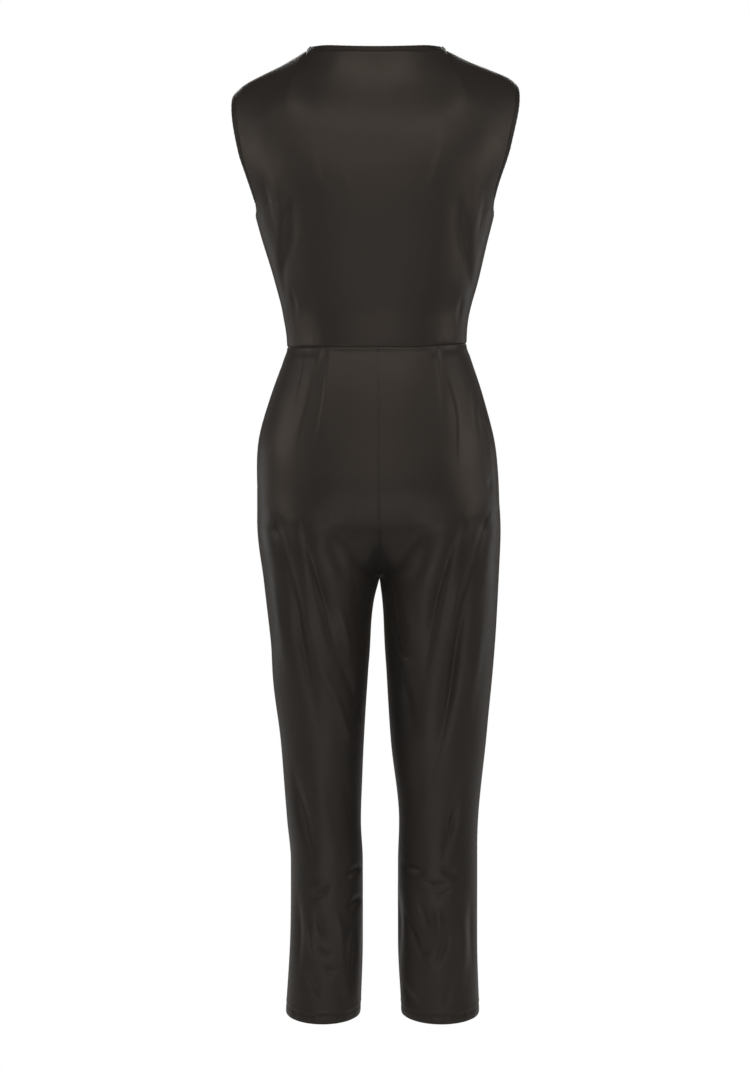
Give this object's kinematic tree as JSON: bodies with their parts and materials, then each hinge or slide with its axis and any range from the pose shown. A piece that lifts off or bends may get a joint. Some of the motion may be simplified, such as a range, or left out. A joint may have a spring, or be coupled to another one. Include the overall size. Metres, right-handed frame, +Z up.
{
  "type": "sleeveless jumpsuit",
  "caption": "Sleeveless jersey jumpsuit, filled out and hollow, with bound neck and armholes, waist seam, side seam pockets and tapered legs.",
  "frame": {"origin": "midway between the two neck points, where the wearer's shoulders carry the garment", "axes": "+Z up; the garment's front faces -Y; the wearer's left is +X"},
  "size_m": [0.4047, 0.2433, 1.3573],
  "materials": {
    "jersey": "matte",
    "binding": "matte",
    "pocketing": "matte"
  },
  "bodies": {
    "root": {"bodice_back": "jersey", "bodice_front": "jersey", "neck_band": "binding", "armhole_band_left": "binding", "armhole_band_right": "binding", "leg_back_left": "jersey", "leg_back_right": "jersey", "leg_front_left": "jersey", "leg_front_right": "jersey", "pocket_bag_left": "pocketing", "pocket_bag_right": "pocketing"}
  },
  "joints": []
}
